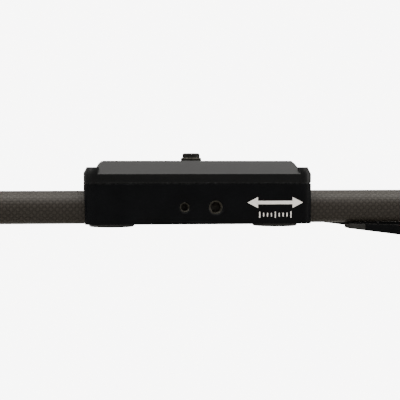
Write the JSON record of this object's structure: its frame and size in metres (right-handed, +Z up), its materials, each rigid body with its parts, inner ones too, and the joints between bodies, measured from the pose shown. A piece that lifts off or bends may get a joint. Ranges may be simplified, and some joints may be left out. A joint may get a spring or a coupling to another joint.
{
  "type": "camera slider",
  "caption": "Camera slider: a carriage with a camera stud rolls along carbon-fibre tubes between end brackets with fold-down legs and levelling feet.",
  "frame": {"origin": "on the floor under the middle of the rails, at the centre of the feet", "axes": "+X along the rails to the right, -Y towards the front (the side with the accessory sockets), +Z up"},
  "size_m": [1.212, 0.14, 0.0769],
  "materials": {
    "black_anodised": "black anodised, fine bead-blasted",
    "carbon_fibre": "woven carbon fibre in clear resin, satin",
    "black_steel": "black oxide steel",
    "bright_steel": "turned steel",
    "rubber": "matte black rubber",
    "nylon": "black moulded nylon"
  },
  "bodies": {
    "rails": {"front_rail_tube": "carbon_fibre", "rear_rail_tube": "carbon_fibre", "left_end_bracket": "black_anodised", "left_end_cover": "black_anodised", "right_end_bracket": "black_anodised", "right_end_cover": "black_anodised", "front_left_bumper": "rubber", "front_left_clamp_screw": "black_steel", "front_left_leg_pivot": "black_steel", "front_right_bumper": "rubber", "front_right_clamp_screw": "black_steel", "front_right_leg_pivot": "black_steel", "rear_left_bumper": "rubber", "rear_left_clamp_screw": "black_steel", "rear_left_leg_pivot": "black_steel", "rear_right_bumper": "rubber", "rear_right_clamp_screw": "black_steel", "rear_right_leg_pivot": "black_steel"},
    "carriage": {"carriage_body": "black_anodised", "top_plate": "black_anodised", "front_left_axle": "black_steel", "front_right_axle": "black_steel", "rear_left_axle": "black_steel", "rear_right_axle": "black_steel"},
    "front_left_roller": {"front_left_roller": "nylon", "front_left_bearing": "bright_steel"},
    "front_right_roller": {"front_right_roller": "nylon", "front_right_bearing": "bright_steel"},
    "rear_left_roller": {"rear_left_roller": "nylon", "rear_left_bearing": "bright_steel"},
    "rear_right_roller": {"rear_right_roller": "nylon", "rear_right_bearing": "bright_steel"},
    "camera_stud": {"camera_stud": "bright_steel"},
    "lock_ring": {"stud_lock_ring": "black_steel"},
    "stud_cap": {"stud_cap": "nylon"},
    "brake_knob": {"brake_knob": "nylon", "brake_shaft": "bright_steel"},
    "brake_shoe": {"brake_shoe": "nylon"},
    "front_left_leg": {"front_left_leg": "black_anodised", "front_left_leg_tip": "rubber"},
    "front_right_leg": {"front_right_leg": "black_anodised", "front_right_leg_tip": "rubber"},
    "rear_left_leg": {"rear_left_leg": "black_anodised", "rear_left_leg_tip": "rubber"},
    "rear_right_leg": {"rear_right_leg": "black_anodised", "rear_right_leg_tip": "rubber"},
    "front_left_foot": {"front_left_foot_stem": "bright_steel", "front_left_foot_pad": "rubber"},
    "front_right_foot": {"front_right_foot_stem": "bright_steel", "front_right_foot_pad": "rubber"},
    "rear_left_foot": {"rear_left_foot_stem": "bright_steel", "rear_left_foot_pad": "rubber"},
    "rear_right_foot": {"rear_right_foot_stem": "bright_steel", "rear_right_foot_pad": "rubber"}
  },
  "joints": [
    {"name": "carriage_slide", "type": "slide", "parent": "rails", "child": "carriage", "axis": [1, 0, 0], "range_m": [-0.8, 0.16]},
    {"name": "front_left_roller_spin", "type": "hinge", "parent": "carriage", "child": "front_left_roller", "pos_m": [0.2637, -0.0175, 0.0399], "axis": [0, 0, 1], "continuous": true},
    {"name": "front_right_roller_spin", "type": "hinge", "parent": "carriage", "child": "front_right_roller", "pos_m": [0.3763, -0.0175, 0.0399], "axis": [0, 0, 1], "continuous": true},
    {"name": "rear_left_roller_spin", "type": "hinge", "parent": "carriage", "child": "rear_left_roller", "pos_m": [0.2637, 0.0175, 0.0399], "axis": [0, 0, 1], "continuous": true},
    {"name": "rear_right_roller_spin", "type": "hinge", "parent": "carriage", "child": "rear_right_roller", "pos_m": [0.3763, 0.0175, 0.0399], "axis": [0, 0, 1], "continuous": true},
    {"name": "camera_stud_turn", "type": "hinge", "parent": "carriage", "child": "camera_stud", "pos_m": [0.32, 0, 0.07], "axis": [0, 0, 1], "continuous": true},
    {"name": "lock_ring_turn", "type": "hinge", "parent": "carriage", "child": "lock_ring", "pos_m": [0.32, 0, 0.073], "axis": [0, 0, 1], "continuous": true},
    {"name": "stud_cap_pull", "type": "slide", "parent": "camera_stud", "child": "stud_cap", "axis": [0, 0, 1], "range_m": [0, 0.03]},
    {"name": "brake_knob_turn", "type": "hinge", "parent": "carriage", "child": "brake_knob", "pos_m": [0.32, 0.06, 0.041], "axis": [0, -1, 0], "range_deg": [0, 216]},
    {"name": "brake_shoe_press", "type": "slide", "parent": "carriage", "child": "brake_shoe", "axis": [0, -1, 0], "range_m": [0, 0.0007]},
    {"name": "front_left_leg_fold", "type": "hinge", "parent": "rails", "child": "front_left_leg", "pos_m": [-0.576, -0.04, 0.014], "axis": [0, 1, 0], "range_deg": [0, 100]},
    {"name": "front_right_leg_fold", "type": "hinge", "parent": "rails", "child": "front_right_leg", "pos_m": [0.576, -0.04, 0.014], "axis": [0, -1, 0], "range_deg": [0, 100]},
    {"name": "rear_left_leg_fold", "type": "hinge", "parent": "rails", "child": "rear_left_leg", "pos_m": [-0.576, 0.04, 0.014], "axis": [0, 1, 0], "range_deg": [0, 100]},
    {"name": "rear_right_leg_fold", "type": "hinge", "parent": "rails", "child": "rear_right_leg", "pos_m": [0.576, 0.04, 0.014], "axis": [0, -1, 0], "range_deg": [0, 100]},
    {"name": "front_left_foot_screw", "type": "slide", "parent": "rails", "child": "front_left_foot", "axis": [0, 0, -1], "range_m": [0, 0.01]},
    {"name": "front_right_foot_screw", "type": "slide", "parent": "rails", "child": "front_right_foot", "axis": [0, 0, -1], "range_m": [0, 0.01]},
    {"name": "rear_left_foot_screw", "type": "slide", "parent": "rails", "child": "rear_left_foot", "axis": [0, 0, -1], "range_m": [0, 0.01]},
    {"name": "rear_right_foot_screw", "type": "slide", "parent": "rails", "child": "rear_right_foot", "axis": [0, 0, -1], "range_m": [0, 0.01]}
  ],
  "couplings": [
    {"joint": "front_left_roller_spin", "follows": "carriage_slide", "rad_per_m": -95.24},
    {"joint": "front_right_roller_spin", "follows": "carriage_slide", "rad_per_m": -95.24},
    {"joint": "rear_left_roller_spin", "follows": "carriage_slide", "rad_per_m": 95.24},
    {"joint": "rear_right_roller_spin", "follows": "carriage_slide", "rad_per_m": 95.24},
    {"joint": "brake_shoe_press", "follows": "brake_knob_turn", "m_per_rad": 0.000185}
  ]
}
